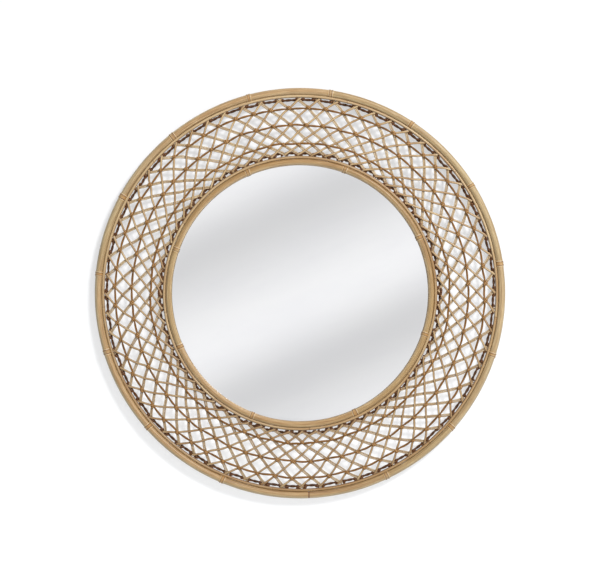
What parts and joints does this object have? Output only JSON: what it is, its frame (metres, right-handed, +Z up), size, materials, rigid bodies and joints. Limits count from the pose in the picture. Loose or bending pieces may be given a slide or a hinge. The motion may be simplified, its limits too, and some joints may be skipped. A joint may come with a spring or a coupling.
{
  "type": "wall mirror",
  "caption": "Round wall mirror in a wide open frame of bent rattan poles filled with a radiating lattice of split cane, on a round board with a sunk keyhole hanger.",
  "frame": {"origin": "centre of the flat back of the backing board, in the plane that lies on the wall", "axes": "+Z up, -Y out of the mirror's face towards the viewer, +Y into the wall, +X to the viewer's right"},
  "size_m": [1.0014, 0.0295, 1.0018],
  "materials": {
    "rattan_pole": "clear satin lacquer",
    "cane_bead": "clear satin lacquer",
    "split_cane": "natural, lightly lacquered",
    "dark_cane": "natural dark skin, lightly lacquered",
    "mirror_glass": "silvered clear glass",
    "plywood": "sanded",
    "zinc_steel": "zinc plated"
  },
  "bodies": {
    "root": {"outer_pole": "rattan_pole", "inner_pole": "rattan_pole", "outer_bead": "cane_bead", "inner_bead": "cane_bead", "weave_cane_1": "split_cane", "weave_cane_2": "split_cane", "weave_cane_3": "split_cane", "weave_cane_4": "split_cane", "weave_cane_5": "split_cane", "weave_cane_6": "split_cane", "weave_cane_7": "split_cane", "weave_cane_8": "split_cane", "ring_cane_1": "dark_cane", "ring_cane_2": "dark_cane", "ring_cane_3": "dark_cane", "ring_cane_4": "dark_cane", "ring_cane_5": "dark_cane", "mirror_glass": "mirror_glass", "backing_board": "plywood", "hanger_plate": "zinc_steel", "hanger_screw_left": "zinc_steel", "hanger_screw_right": "zinc_steel"}
  },
  "joints": []
}
